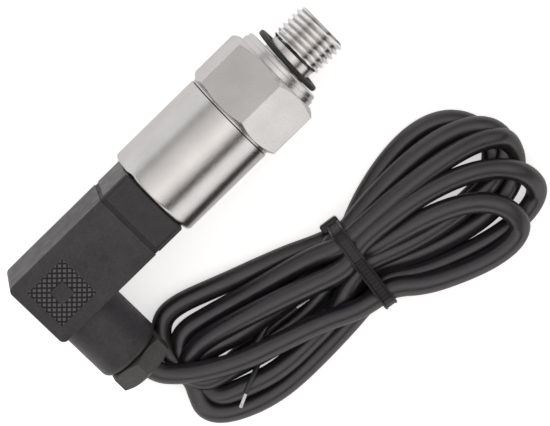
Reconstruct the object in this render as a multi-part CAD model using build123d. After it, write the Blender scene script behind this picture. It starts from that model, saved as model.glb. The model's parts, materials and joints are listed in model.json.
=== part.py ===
from build123d import *
import math
import os

# The part lies on a floor as in use on a bench. X runs along the sensor towards the threaded end and the
# origin is on its axis at the sealing face. The pieces of the sensor and plug are drawn with the badge face
# up and the cable gland towards -Y, and are then rolled about X until hexagon and gland nut touch the floor.

# Process fitting
STUD_DIAMETER = 14.0
STUD_THREAD_LENGTH = 9.5
STUD_CHAMFER = 0.9
NECK_DIAMETER = 12.1
NECK_LENGTH = 3.4
PORT_BORE = 5.0
COLLAR_DIAMETER = 21.8
COLLAR_LENGTH = 2.6
COLLAR_STEP = 0.35
COLLAR_CHAMFER = 0.35
HEX_ACROSS_FLATS = 24.0
HEX_LENGTH = 14.4
HEX_CHAMFER_ANGLE = 30.0
HEX_CHAMFER_CIRCLE = 0.97
SHOULDER_DIAMETER = 23.8
SHOULDER_LENGTH = 0.35
JOINT_GROOVE_WIDTH = 0.25
JOINT_GROOVE_DEPTH = 0.8
SPIGOT_LENGTH = 4.75

# Measuring cell and its seat
CELL_DIAMETER = 18.0
CELL_THICKNESS = 6.35
CELL_CLEARANCE = 0.1
CELL_RECESS_DIAMETER = 9.0
CELL_RECESS_DEPTH = 1.0
CELL_SEAT_FROM_HEX_FRONT = 6.4
CELL_RING_INNER = 11.5
CELL_RING_OUTER = 15.3
CELL_RING_HEIGHT = 1.1
SEAL_EDGE_SHARE = 0.3
SPACER_THICKNESS = 1.6
SPACER_WALL = 3.2
RETAINER_THICKNESS = 3.2
RETAINER_WALL = 3.6
RETAINER_SLOT = 1.6
LEAD_PIN_DIAMETER = 0.6
LEAD_PIN_CIRCLE = 6.0
LEAD_PIN_COUNT = 4

# Housing tube
TUBE_DIAMETER = 24.2
TUBE_WALL = 1.5
TUBE_LENGTH = 25.0
TUBE_ROLL_RADIUS = 1.1
TUBE_LIP_THICKNESS = 0.9
TUBE_LIP_DEPTH = 0.5
PRESS_GAP = 0.05

# Connector base
BASE_SIDE = 18.6
BASE_CORNER = 1.5
BASE_LENGTH = 7.5
BASE_GAP = 0.1
BASE_NECK_LENGTH = 1.2
BASE_SPIGOT_LENGTH = 8.0
BASE_SPIGOT_GAP = 0.1
BASE_CUP_WALL = 1.6
BASE_CUP_DEPTH = 6.0
BASE_EDGE = 0.4
BASE_SEAL_WIDTH = 2.2
BASE_SEAL_DEPTH = 1.0
BASE_SEAL_FROM_FRONT = 2.4
BOARD_THICKNESS = 1.6
BOARD_EDGE_GAP = 0.3

# Contacts
BLADE_WIDTH = 2.8
BLADE_THICKNESS = 0.8
BLADE_REACH = 9.0
SOCKET_WALL = 0.5
SOCKET_GAP = 0.05
CLAMP_SIDE = 2.8
CLAMP_GAP = 0.2
CLAMP_LENGTH = 4.4
CLAMP_HOLE_DEPTH = 2.6
TERMINAL_SCREW_DIAMETER = 1.6
TERMINAL_HEAD_DIAMETER = 2.4
TERMINAL_HEAD_HEIGHT = 0.9
TERMINAL_SLOT_WIDTH = 0.4
TERMINAL_SLOT_DEPTH = 0.45

# Gasket and plug housing
GASKET_THICKNESS = 1.1
GASKET_INSET = 0.25
PLUG_GAP = 0.05
PLUG_SIDE = 18.3
PLUG_LENGTH = 29.85
PLUG_EDGE = 0.6
PLUG_END_CORNER = 1.5
PLUG_WALL = 1.8
PLUG_LEDGE = 0.8
PLUG_END_WALL = 4.2
INSERT_GAP = 0.15
INSERT_INSET = 0.25
INSERT_LENGTH = 12.9
BADGE_SIDE = 11.2
BADGE_DEPTH = 0.3
BADGE_PLATE_SIDE = 4.0

# Plug screw
SCREW_DIAMETER = 3.0
SCREW_HOLE_GAP = 0.15
SCREW_ENGAGEMENT = 4.2
SCREW_HEAD_DIAMETER = 5.8
SCREW_HEAD_HEIGHT = 1.8
SCREW_HEAD_SINK = 0.3
SCREW_SLOT_WIDTH = 0.8
SCREW_SLOT_DEPTH = 1.0
SCREW_SEAL_THICKNESS = 0.6
SCREW_POCKET_GAP = 0.5

# Cable gland, measured outward from the sensor axis
SLEEVE_DIAMETER = 16.4
SLEEVE_INSET = 0.3
SLEEVE_BORE = 11.6
SLEEVE_END = 24.0
SLEEVE_END_ROUND = 1.6
SLEEVE_THROAT = 9.6
GLAND_FIT_GAP = 0.15
GLAND_SEAL_LENGTH = 6.5
GLAND_WASHER_THICKNESS = 0.8
NUT_ACROSS_FLATS = 14.0
NUT_LENGTH = 4.95
NUT_GAP = 0.35
NUT_BORE = 6.0
NUT_CHAMFER_ANGLE = 30.0
NUT_SHANK_LENGTH = 5.0

# Sealing washer, hung loose on the neck
WASHER_OUTER = 18.6
WASHER_INNER = 14.3
WASHER_THICKNESS = 1.2
WASHER_EDGE = 0.25
WASHER_SWING = -2.0
WASHER_LEAN = -3.0
WASHER_HANG_GAP = 0.1

# Cable and its free cores
CABLE_DIAMETER = 5.0
CABLE_JACKET_INSET = 2.9
CORE_DIAMETER = 1.3
CORE_OFFSET = 0.75
CORE_TIP_DIAMETER = 0.8
CORE_TIP_LENGTH = 4.0
BEND_SHARE = 0.45

# Cable route as X, Y and height above the floor, from its first corner on the gland axis
LEAD_FIRST_CORNER = 34.0
LEAD_ROUTE = [(-64.4, -39.4, 8.7), (-46.5, -45.9, 9.0), (-35.0, -49.6, 9.1), (-24.0, -54.0, 9.0)]
CORE_LONG_ROUTE = [(-52.6, -46.2), (-56.4, -47.8), (-60.2, -50.0)]
CORE_SHORT_ROUTE = [(-45.4, -43.0), (-41.6, -43.2), (-37.4, -43.9)]

# Hank: each lobe as the centre and radius of its end, its place along the tie and its height
TIE_CENTRE = (-20.9, -45.7)
HANK_LOBES = [
    ((13.4, -42.4), 10.4, 6.5, 5.0),
    ((17.7, -46.0), 8.1, 5.5, 8.0),
    ((20.8, -50.2), 6.7, 3.5, 10.4),
    ((17.6, -58.9), 7.7, 0.0, 11.0),
    ((7.4, -61.7), 9.2, -6.5, 10.0),
    ((-58.5, -26.6), 5.8, 6.7, 5.0),
    ((-61.6, -33.4), 5.6, 6.2, 5.0),
    ((-58.0, -37.9), 5.2, 2.0, 5.0),
    ((-62.3, -48.0), 9.7, -6.7, 5.0),
    ((-44.0, -32.6), 4.0, 6.0, 8.6),
]
HANK_LAYER = 5.0
LOBE_ROOT_RADIUS = 4.0
LOBE_EDGE = 1.6
WAIST_WIDTH = 21.5
WAIST_HEIGHT = 13.6
WAIST_LENGTH = 14.0
WAIST_ROUND = 3.0

# Cable tie
TIE_WIDTH = 2.8
TIE_THICKNESS = 1.0
TIE_HEAD_LENGTH = 4.6
TIE_HEAD_WIDTH = 5.2
TIE_HEAD_THICKNESS = 3.2
TIE_HEAD_HEIGHT = 1.6

# Places along the axis that follow from the sizes
STUD_END = NECK_LENGTH + STUD_THREAD_LENGTH
HEX_FRONT = -COLLAR_LENGTH
HEX_REAR = HEX_FRONT - HEX_LENGTH
SHOULDER_REAR = HEX_REAR - SHOULDER_LENGTH
TUBE_FRONT = SHOULDER_REAR - JOINT_GROOVE_WIDTH
TUBE_REAR = TUBE_FRONT - TUBE_LENGTH
TUBE_BORE_RADIUS = TUBE_DIAMETER / 2 - TUBE_WALL
SPIGOT_REAR = TUBE_FRONT - SPIGOT_LENGTH
CELL_FRONT = HEX_FRONT - CELL_SEAT_FROM_HEX_FRONT
CELL_REAR = CELL_FRONT - CELL_THICKNESS
SPACER_REAR = CELL_REAR - SPACER_THICKNESS
RETAINER_REAR = SPACER_REAR - RETAINER_THICKNESS
BORE_RADIUS = CELL_DIAMETER / 2 + CELL_CLEARANCE
BASE_FRONT = TUBE_REAR - BASE_GAP
BASE_REAR = BASE_FRONT - BASE_LENGTH
BASE_SPIGOT_REAR = BASE_FRONT + BASE_NECK_LENGTH
BASE_SPIGOT_FRONT = BASE_SPIGOT_REAR + BASE_SPIGOT_LENGTH
BASE_SPIGOT_RADIUS = TUBE_BORE_RADIUS - BASE_SPIGOT_GAP
BASE_CUP_FLOOR = BASE_SPIGOT_FRONT - BASE_CUP_DEPTH
BOARD_FRONT = BASE_SPIGOT_FRONT + BOARD_THICKNESS
GASKET_REAR = BASE_REAR - GASKET_THICKNESS
PLUG_FRONT = GASKET_REAR - PLUG_GAP
PLUG_REAR = PLUG_FRONT - PLUG_LENGTH
INSERT_FRONT = PLUG_FRONT - INSERT_INSET
INSERT_REAR = INSERT_FRONT - INSERT_LENGTH
CAVITY_SIDE = PLUG_SIDE - 2 * PLUG_WALL
REAR_CAVITY_SIDE = CAVITY_SIDE - 2 * PLUG_LEDGE
CONTACT_SPACING = REAR_CAVITY_SIDE - CLAMP_SIDE - 2 * CLAMP_GAP
CAVITY_REAR = PLUG_REAR + PLUG_END_WALL
SCREW_HEAD_REAR = PLUG_REAR + SCREW_HEAD_SINK
SCREW_HEAD_FRONT = SCREW_HEAD_REAR + SCREW_HEAD_HEIGHT
SCREW_SEAT = SCREW_HEAD_FRONT + SCREW_SEAL_THICKNESS
SCREW_TIP = BASE_REAR + SCREW_ENGAGEMENT
GLAND_X = PLUG_REAR + SLEEVE_INSET + SLEEVE_DIAMETER / 2
NUT_FRONT = SLEEVE_END + NUT_GAP
NUT_END = NUT_FRONT + NUT_LENGTH
WASHER_SEAT = NUT_FRONT - NUT_SHANK_LENGTH
SEAL_END = WASHER_SEAT - GLAND_WASHER_THICKNESS
SEAL_SEAT = SEAL_END - GLAND_SEAL_LENGTH
CABLE_START = REAR_CAVITY_SIDE / 2 + CABLE_JACKET_INSET

# Rest on the floor: the low corners of the hexagon and of the gland nut both touch it
HEX_CORNER = HEX_ACROSS_FLATS / 2 / math.cos(math.pi / 6)
NUT_CORNER = NUT_ACROSS_FLATS / 2 / math.cos(math.pi / 6)
NUT_FACE_CIRCLE = NUT_ACROSS_FLATS / 2 * HEX_CHAMFER_CIRCLE
NUT_CHAMFER_DROP = (NUT_CORNER - NUT_FACE_CIRCLE) * math.tan(math.radians(NUT_CHAMFER_ANGLE))
REST_ROLL = math.degrees(math.atan2(HEX_CORNER - NUT_CORNER, NUT_END - NUT_CHAMFER_DROP))
FLOOR_Z = -HEX_CORNER * math.cos(math.radians(REST_ROLL))

# Directions of the four contacts around the axis
CONTACT_ANGLES = [0, 90, 180, 270]
GLAND_PLANE = Plane(origin=(GLAND_X, 0, 0), x_dir=(1, 0, 0), z_dir=(0, -1, 0))


def save(shape, name):
    """Write one piece as its STEP file."""
    shape.label = name
    export_step(shape, f"parts/{name}.step")


def rolled(shape):
    """Roll a piece of the sensor or plug to the way it rests on the floor."""
    return Rot(REST_ROLL, 0, 0) * shape


def turned(*points):
    """Revolve a closed outline of (x, radius) points about the sensor axis."""
    return revolve(make_face(Polyline(*points, close=True)), Axis.X)


def ring(front, rear, outer, inner=0.0):
    """Round ring or disc on the sensor axis between two places along it."""
    return turned((front, inner), (front, outer), (rear, outer), (rear, inner))


def square_prism(front, rear, side, corner):
    """Square prism on the sensor axis with rounded long edges."""
    profile = Plane.YZ.offset(rear) * RectangleRounded(side, side, corner)
    return extrude(profile, front - rear)


def hexagon(plane, across_flats, length, chamfer_angle):
    """Hexagonal prism with a corner up, chamfered round at both ends."""
    corner = across_flats / 2 / math.cos(math.pi / 6)
    flat_circle = across_flats / 2 * HEX_CHAMFER_CIRCLE
    drop = (corner - flat_circle) * math.tan(math.radians(chamfer_angle))
    prism = extrude(plane * RegularPolygon(across_flats / 2, 6, major_radius=False, rotation=90), length)
    outline = Polyline((0, 0), (flat_circle, 0), (corner, drop), (corner, length - drop),
                       (flat_circle, length), (0, length), close=True)
    envelope = revolve(make_face(Plane.XZ * outline), Axis.Z)
    return prism & (plane * envelope)


def along_gland(start, end, radius, inner=0.0):
    """Round ring or disc on the gland axis between two distances from the sensor axis."""
    outline = Circle(radius) - Circle(inner) if inner else Circle(radius)
    return extrude(GLAND_PLANE.offset(start) * outline, end - start)


def at_contact(shape, angle):
    """Turn a shape drawn beside the axis on +Z to the place of one contact."""
    return Rot(angle, 0, 0) * shape


def contact_box(front, rear, width, thickness):
    """Box at the place of the upper contact, its width across and its thickness radial."""
    centre = Pos((front + rear) / 2, 0, CONTACT_SPACING / 2)
    return centre * Box(front - rear, width, thickness)


def tube_along(points, radius, bend_name=None):
    """Round tube along straight runs joined by tangent arcs."""
    corners = [Vector(*p) for p in points]
    radii = []
    for before, corner, after in zip(corners, corners[1:], corners[2:]):
        first = corner - before
        second = after - corner
        half_turn = math.radians(first.get_angle(second)) / 2
        radii.append(BEND_SHARE * min(first.length, second.length) / math.tan(half_turn))
    if bend_name:
        print(bend_name, "bend radii", [round(r, 1) for r in radii])
    path = FilletPolyline(*corners, radius=radii)
    return sweep((path ^ 0) * Circle(radius), path=path), path


def floor_point(x, y, height):
    """Point at a height above the floor."""
    return (x, y, FLOOR_Z + height)


def gland_point(distance):
    """Point of the gland axis after the roll."""
    roll = math.radians(REST_ROLL)
    return (GLAND_X, -distance * math.cos(roll), -distance * math.sin(roll))


# Process fitting
def make_process_fitting():
    stud = STUD_DIAMETER / 2
    neck = NECK_DIAMETER / 2
    collar = COLLAR_DIAMETER / 2
    step_x = -COLLAR_LENGTH / 2
    spigot = TUBE_BORE_RADIUS - PRESS_GAP
    land = TUBE_DIAMETER / 2 - JOINT_GROOVE_DEPTH
    stud_part = turned(
        (STUD_END, 0), (STUD_END, stud - STUD_CHAMFER), (STUD_END - STUD_CHAMFER, stud),
        (NECK_LENGTH, stud), (NECK_LENGTH, neck), (0, neck), (0, collar - COLLAR_STEP - COLLAR_CHAMFER),
        (-COLLAR_CHAMFER, collar - COLLAR_STEP), (step_x, collar - COLLAR_STEP), (step_x, collar),
        (HEX_FRONT, collar), (HEX_FRONT, 0))
    hex_part = hexagon(Plane.YZ.offset(HEX_REAR), HEX_ACROSS_FLATS, HEX_LENGTH, HEX_CHAMFER_ANGLE)
    rear_part = turned(
        (HEX_REAR, 0), (HEX_REAR, SHOULDER_DIAMETER / 2), (SHOULDER_REAR, SHOULDER_DIAMETER / 2),
        (SHOULDER_REAR, land), (TUBE_FRONT, land), (TUBE_FRONT, spigot), (SPIGOT_REAR, spigot),
        (SPIGOT_REAR, 0))
    port = ring(STUD_END, CELL_FRONT, PORT_BORE / 2)
    groove = ring(CELL_FRONT + CELL_RING_HEIGHT, CELL_FRONT, CELL_RING_OUTER / 2, CELL_RING_INNER / 2)
    chamber = ring(CELL_FRONT + CELL_RECESS_DEPTH, CELL_FRONT, CELL_RECESS_DIAMETER / 2)
    cell_bore = ring(CELL_FRONT, SPIGOT_REAR, BORE_RADIUS)
    return stud_part + hex_part + rear_part - port - groove - chamber - cell_bore


# Loose sealing washer, hanging on the neck and turned a little out of square
def make_sealing_washer():
    half = WASHER_THICKNESS / 2
    flat = ring(half, -half, WASHER_OUTER / 2, WASHER_INNER / 2)
    flat = chamfer(flat.edges().filter_by(GeomType.CIRCLE), WASHER_EDGE)
    hang = (WASHER_INNER - NECK_DIAMETER) / 2 - WASHER_HANG_GAP
    swing = WASHER_OUTER / 2 * math.sin(math.radians(abs(WASHER_SWING) + abs(WASHER_LEAN)))
    return Pos(half + swing, 0, -hang) * Rot(0, WASHER_LEAN, WASHER_SWING) * flat


# Measuring cell, its seal, spacer, retaining ring and pins
def make_sensor_cell():
    return ring(CELL_FRONT, CELL_REAR, CELL_DIAMETER / 2)


def make_cell_o_ring():
    seal = ring(CELL_FRONT + CELL_RING_HEIGHT, CELL_FRONT, CELL_RING_OUTER / 2, CELL_RING_INNER / 2)
    return chamfer(seal.edges().filter_by(GeomType.CIRCLE), CELL_RING_HEIGHT * SEAL_EDGE_SHARE)


def make_cell_spacer():
    outer = CELL_DIAMETER / 2
    return ring(CELL_REAR, SPACER_REAR, outer, outer - SPACER_WALL)


def make_retaining_ring():
    outer = BORE_RADIUS
    body = ring(SPACER_REAR, RETAINER_REAR, outer, outer - RETAINER_WALL)
    slot = Pos(RETAINER_REAR, 0, 0) * Box(RETAINER_SLOT, 2 * outer, RETAINER_SLOT)
    return body - slot


def make_cell_leads():
    pin = ring(CELL_REAR, BOARD_FRONT, LEAD_PIN_DIAMETER / 2)
    return Part() + [Rot(360 / LEAD_PIN_COUNT * i + 45, 0, 0) * Pos(0, 0, LEAD_PIN_CIRCLE / 2) * pin
                     for i in range(LEAD_PIN_COUNT)]


# Housing tube with its rear edge rolled inward over the base
def make_housing_tube():
    outer = TUBE_DIAMETER / 2
    lip = TUBE_BORE_RADIUS - TUBE_LIP_DEPTH
    lip_front = TUBE_REAR + TUBE_LIP_THICKNESS
    body = turned((TUBE_FRONT, TUBE_BORE_RADIUS), (TUBE_FRONT, outer), (TUBE_REAR, outer), (TUBE_REAR, lip),
                  (lip_front, lip), (lip_front, TUBE_BORE_RADIUS))
    rear_edge = body.faces().sort_by(Axis.X)[0].edges().sort_by(SortBy.LENGTH)[-1]
    return fillet(rear_edge, TUBE_ROLL_RADIUS)


# Circuit board and the parts on it
def make_circuit_board():
    radius = BASE_SPIGOT_RADIUS - BOARD_EDGE_GAP
    board = ring(BOARD_FRONT, BASE_SPIGOT_FRONT, radius)
    pin_hole = ring(BOARD_FRONT, BASE_SPIGOT_FRONT, LEAD_PIN_DIAMETER / 2)
    holes = [Rot(360 / LEAD_PIN_COUNT * i + 45, 0, 0) * Pos(0, 0, LEAD_PIN_CIRCLE / 2) * pin_hole
             for i in range(LEAD_PIN_COUNT)]
    return board - holes


def make_board_components():
    chip_side = 4.6
    chip_height = 1.1
    can_radius = 1.6
    can_height = 4.2
    filter_side = 1.8
    offset = LEAD_PIN_CIRCLE / 2 + LEAD_PIN_DIAMETER + chip_side / 2 - 0.3
    chip = Pos(BOARD_FRONT + chip_height / 2, offset, 0) * Box(chip_height, chip_side, chip_side)
    can = ring(BOARD_FRONT + can_height, BOARD_FRONT, can_radius)
    small = Pos(BOARD_FRONT + chip_height / 2, 0, 0) * Box(chip_height, filter_side, filter_side)
    return Part() + [chip, Pos(0, -offset, 0) * can, Pos(0, 0, offset) * small, Pos(0, 0, -offset) * small]


# Connector base with its contact blades and seal
def make_connector_base():
    neck = TUBE_BORE_RADIUS - TUBE_LIP_DEPTH - BASE_SPIGOT_GAP
    flange = square_prism(BASE_FRONT, BASE_REAR, BASE_SIDE, BASE_CORNER)
    flange = chamfer(flange.faces().sort_by(Axis.X)[-1].edges(), BASE_EDGE)
    spigot = turned((BASE_FRONT, 0), (BASE_FRONT, neck), (BASE_SPIGOT_REAR, neck),
                    (BASE_SPIGOT_REAR, BASE_SPIGOT_RADIUS), (BASE_SPIGOT_FRONT, BASE_SPIGOT_RADIUS),
                    (BASE_SPIGOT_FRONT, 0))
    cup = ring(BASE_SPIGOT_FRONT, BASE_CUP_FLOOR, BASE_SPIGOT_RADIUS - BASE_CUP_WALL)
    seal_front = BASE_SPIGOT_FRONT - BASE_SEAL_FROM_FRONT
    groove = ring(seal_front, seal_front - BASE_SEAL_WIDTH, TUBE_BORE_RADIUS,
                  BASE_SPIGOT_RADIUS - BASE_SEAL_DEPTH)
    body = flange + spigot - cup - groove
    blade_hole = contact_box(BASE_CUP_FLOOR, BASE_REAR, BLADE_WIDTH, BLADE_THICKNESS)
    screw_hole = ring(SCREW_TIP, BASE_REAR, SCREW_DIAMETER / 2)
    return body - [at_contact(blade_hole, a) for a in CONTACT_ANGLES] - screw_hole


def make_contact_blades():
    blade = contact_box(BASE_SPIGOT_FRONT, BASE_REAR - BLADE_REACH, BLADE_WIDTH, BLADE_THICKNESS)
    tip = blade.faces().sort_by(Axis.X)[0]
    blade = chamfer(tip.edges().filter_by(Axis.Y), BLADE_THICKNESS * 0.3)
    return Part() + [at_contact(blade, a) for a in CONTACT_ANGLES]


def make_base_seal():
    front = BASE_SPIGOT_FRONT - BASE_SEAL_FROM_FRONT
    seal = ring(front, front - BASE_SEAL_WIDTH, TUBE_BORE_RADIUS, BASE_SPIGOT_RADIUS - BASE_SEAL_DEPTH)
    return chamfer(seal.edges().filter_by(GeomType.CIRCLE), BASE_SEAL_DEPTH * SEAL_EDGE_SHARE)


# Flat gasket between base and plug
def make_profile_gasket():
    side = BASE_SIDE - 2 * GASKET_INSET
    sheet = square_prism(BASE_REAR, GASKET_REAR, side, BASE_CORNER - GASKET_INSET)
    hole = contact_box(BASE_REAR, GASKET_REAR, BLADE_WIDTH, BLADE_THICKNESS)
    screw_hole = ring(BASE_REAR, GASKET_REAR, SCREW_DIAMETER / 2 + SCREW_HOLE_GAP)
    return sheet - [at_contact(hole, a) for a in CONTACT_ANGLES] - screw_hole


# Moulded plug housing: square block, cable sleeve, stepped cavity, screw pocket and badge pocket
def make_plug_housing():
    floor_plane = Plane(origin=(PLUG_FRONT, 0, -PLUG_SIDE / 2))
    block = extrude(floor_plane * RectangleRounded(2 * PLUG_LENGTH, PLUG_SIDE, PLUG_END_CORNER), PLUG_SIDE)
    faces = block.faces().sort_by(Axis.Z)
    block = fillet(faces[0].edges() + faces[-1].edges(), PLUG_EDGE)
    block = block & Pos((PLUG_FRONT + PLUG_REAR) / 2, 0, 0) * Box(PLUG_LENGTH, PLUG_SIDE, PLUG_SIDE)
    sleeve = along_gland(0, SLEEVE_END, SLEEVE_DIAMETER / 2)
    sleeve_end = sleeve.edges().filter_by(GeomType.CIRCLE).sort_by(Axis.Y)[0]
    sleeve = fillet(sleeve_end, SLEEVE_END_ROUND)
    front_cavity = square_prism(PLUG_FRONT, INSERT_REAR, CAVITY_SIDE, PLUG_EDGE)
    rear_cavity = square_prism(INSERT_REAR, CAVITY_REAR, REAR_CAVITY_SIDE, PLUG_EDGE)
    throat = along_gland(0, SEAL_SEAT, SLEEVE_THROAT / 2)
    seal_bore = along_gland(SEAL_SEAT, SLEEVE_END, SLEEVE_BORE / 2)
    screw_pocket = ring(SCREW_SEAT, PLUG_REAR, SCREW_HEAD_DIAMETER / 2 + SCREW_POCKET_GAP)
    screw_hole = ring(CAVITY_REAR, SCREW_SEAT, SCREW_DIAMETER / 2 + SCREW_HOLE_GAP)
    face_z = PLUG_SIDE / 2
    badge = Pos(GLAND_X, 0, face_z) * Box(BADGE_SIDE, BADGE_SIDE, 2 * BADGE_DEPTH)
    plate = Pos(GLAND_X, 0, face_z - BADGE_DEPTH) * Box(BADGE_PLATE_SIDE, BADGE_PLATE_SIDE, 2 * BADGE_DEPTH)
    body = block + sleeve - front_cavity - rear_cavity - throat - seal_bore
    return body - screw_pocket - screw_hole - (badge - plate)


# Insert with its female contacts and clamping screws
def socket_size():
    extra = 2 * (SOCKET_WALL + SOCKET_GAP)
    return BLADE_WIDTH + extra, BLADE_THICKNESS + extra


def make_terminal_insert():
    body = square_prism(INSERT_FRONT, INSERT_REAR, CAVITY_SIDE - 2 * INSERT_GAP, PLUG_EDGE)
    width, thickness = socket_size()
    pocket = contact_box(INSERT_FRONT, INSERT_REAR, width, thickness)
    screw_hole = ring(INSERT_FRONT, INSERT_REAR, SCREW_DIAMETER / 2 + SCREW_HOLE_GAP)
    return body - [at_contact(pocket, a) for a in CONTACT_ANGLES] - screw_hole


def make_socket_contacts():
    width, thickness = socket_size()
    sleeve = contact_box(INSERT_FRONT, INSERT_REAR, width, thickness)
    slot_rear = BASE_REAR - BLADE_REACH - SOCKET_WALL
    slot_width = BLADE_WIDTH + 2 * SOCKET_GAP
    slot = contact_box(INSERT_FRONT, slot_rear, slot_width, BLADE_THICKNESS + 2 * SOCKET_GAP)
    clamp_rear = INSERT_REAR - CLAMP_LENGTH
    clamp = contact_box(INSERT_REAR, clamp_rear, CLAMP_SIDE, CLAMP_SIDE)
    wire_end = clamp_rear + CLAMP_HOLE_DEPTH
    wire_hole = Pos(0, 0, CONTACT_SPACING / 2) * ring(wire_end, clamp_rear, CORE_DIAMETER / 2)
    contact = sleeve + clamp - slot - wire_hole - clamp_screw_shank(0)
    return Part() + [at_contact(contact, a) for a in CONTACT_ANGLES]


def clamp_screw_axis():
    """Location of the clamping screw, at the side of the upper contact, pointing outward."""
    x = INSERT_REAR - CLAMP_LENGTH + CLAMP_HOLE_DEPTH / 2
    return Pos(x, 0, CONTACT_SPACING / 2) * Rot(-90, 0, 0)


def clamp_screw_shank(tip):
    """Shank of a clamping screw from its tip, given as a distance from the contact's axis, to the side."""
    depth = CLAMP_SIDE / 2 - tip
    shank = Pos(0, 0, tip + depth / 2) * Cylinder(TERMINAL_SCREW_DIAMETER / 2, depth)
    return clamp_screw_axis() * shank


def make_terminal_screws():
    head_base = CLAMP_SIDE / 2
    head = Pos(0, 0, head_base + TERMINAL_HEAD_HEIGHT / 2) * Cylinder(TERMINAL_HEAD_DIAMETER / 2,
                                                                    TERMINAL_HEAD_HEIGHT)
    slot_z = head_base + TERMINAL_HEAD_HEIGHT - TERMINAL_SLOT_DEPTH / 2
    slot = Pos(0, 0, slot_z) * Box(TERMINAL_SLOT_WIDTH, TERMINAL_HEAD_DIAMETER, TERMINAL_SLOT_DEPTH)
    screw = clamp_screw_axis() * (head - slot) + clamp_screw_shank(CORE_DIAMETER / 2)
    return Part() + [at_contact(screw, a) for a in CONTACT_ANGLES]


# Long screw through the plug and the ring under its head
def make_plug_screw():
    head = ring(SCREW_HEAD_FRONT, SCREW_HEAD_REAR, SCREW_HEAD_DIAMETER / 2)
    shank = ring(SCREW_TIP, SCREW_HEAD_FRONT, SCREW_DIAMETER / 2)
    slot_x = SCREW_HEAD_REAR + SCREW_SLOT_DEPTH / 2
    slot = Pos(slot_x, 0, 0) * Box(SCREW_SLOT_DEPTH, SCREW_HEAD_DIAMETER, SCREW_SLOT_WIDTH)
    return head + shank - slot


def make_screw_seal():
    return ring(SCREW_SEAT, SCREW_HEAD_FRONT, SCREW_HEAD_DIAMETER / 2, SCREW_DIAMETER / 2)


# Gland nut, washer and grommet
def make_gland_nut():
    shank = SLEEVE_BORE / 2 - GLAND_FIT_GAP / 2
    head = hexagon(GLAND_PLANE.offset(NUT_FRONT), NUT_ACROSS_FLATS, NUT_LENGTH, NUT_CHAMFER_ANGLE)
    return head + along_gland(WASHER_SEAT, NUT_FRONT, shank) - along_gland(WASHER_SEAT, NUT_END, NUT_BORE / 2)


def make_gland_washer():
    return along_gland(SEAL_END, WASHER_SEAT, SLEEVE_BORE / 2 - GLAND_FIT_GAP, NUT_BORE / 2)


def make_gland_seal():
    return along_gland(SEAL_SEAT, SEAL_END, SLEEVE_BORE / 2 - GLAND_FIT_GAP / 2, CABLE_DIAMETER / 2)


# Jacketed cable inside the gland and its cores up to the clamps
def make_cable_entry():
    return along_gland(CABLE_START, NUT_FRONT, CABLE_DIAMETER / 2)


def make_plug_wires():
    wire_end = INSERT_REAR - CLAMP_LENGTH + CLAMP_HOLE_DEPTH
    side = CONTACT_SPACING / 2
    turn_y = -(CABLE_START + side) / 2
    near_x = GLAND_X + CORE_OFFSET
    far_x = GLAND_X - CORE_OFFSET
    near = [(near_x, -CABLE_START, 0), (near_x, -side, 0), (wire_end, -side, 0)]
    far = [(far_x, -CABLE_START, 0), (far_x, turn_y, 0), (far_x, 0, -side), (wire_end, 0, -side)]
    return Part() + [tube_along(route, CORE_DIAMETER / 2)[0] for route in (near, far)]


def lead_joint():
    """Middle of the run where the free lead ends and the lead that lies on the hank begins."""
    return (Vector(*floor_point(*LEAD_ROUTE[0])) + Vector(*floor_point(*LEAD_ROUTE[1]))) / 2


# Cable from the gland to the hank
def make_cable_lead():
    start = gland_point(NUT_FRONT)
    corner = gland_point(LEAD_FIRST_CORNER)
    points = [start, corner, floor_point(*LEAD_ROUTE[0]), lead_joint()]
    tube, path = tube_along(points, CABLE_DIAMETER / 2, "lead")
    section = math.pi * (CABLE_DIAMETER / 2) ** 2
    print("lead length", round(path.length, 1), "volume over section x length",
          round(tube.volume / section / path.length, 4))
    return tube


# Hank of the doubled cable as one solid: a rounded slab for each lobe, the waist and the lead lying on top
def make_cable_hank():
    hank = waist_block(WAIST_LENGTH, 0)
    for end, end_radius, offset, height in HANK_LOBES:
        root = (TIE_CENTRE[0], TIE_CENTRE[1] + offset)
        circles = [Pos(*root) * Circle(LOBE_ROOT_RADIUS), Pos(*end) * Circle(end_radius)]
        slab = extrude(make_hull([circle.edge() for circle in circles]), height)
        slab = chamfer(slab.faces().sort_by(Axis.Z)[-1].edges(), LOBE_EDGE)
        hank += Pos(0, 0, FLOOR_Z) * slab
    over_points = [lead_joint()] + [floor_point(*p) for p in LEAD_ROUTE[1:]]
    hank += tube_along(over_points, CABLE_DIAMETER / 2)[0]
    return hank - make_cable_tie()


def waist_block(length, growth):
    """Rounded block of the hank's section at the tie, grown outward by a thickness."""
    section = RectangleRounded(WAIST_WIDTH + 2 * growth, WAIST_HEIGHT + 2 * growth, WAIST_ROUND + growth)
    centre_z = FLOOR_Z + TIE_THICKNESS + WAIST_HEIGHT / 2
    near_side = (TIE_CENTRE[0] - length / 2, TIE_CENTRE[1], centre_z)
    plane = Plane(origin=near_side, x_dir=(0, 1, 0), z_dir=(1, 0, 0))
    return extrude(plane * section, length)


# Cable tie with its head low on the side away from the lead
def make_cable_tie():
    strap = waist_block(TIE_WIDTH, TIE_THICKNESS) - waist_block(TIE_WIDTH, 0)
    head_y = TIE_CENTRE[1] + WAIST_WIDTH / 2 + TIE_HEAD_THICKNESS / 2
    head_z = FLOOR_Z + TIE_HEAD_HEIGHT + TIE_HEAD_LENGTH / 2
    head = Pos(TIE_CENTRE[0], head_y, head_z) * Box(TIE_HEAD_WIDTH, TIE_HEAD_THICKNESS, TIE_HEAD_LENGTH)
    head = fillet(head.edges().filter_by(Axis.Z), TIE_THICKNESS * 0.6)
    return strap + head


# Free cores lying on the hank
def core_points(route, height):
    return [floor_point(x, y, HANK_LAYER + height) for x, y in route]


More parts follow.
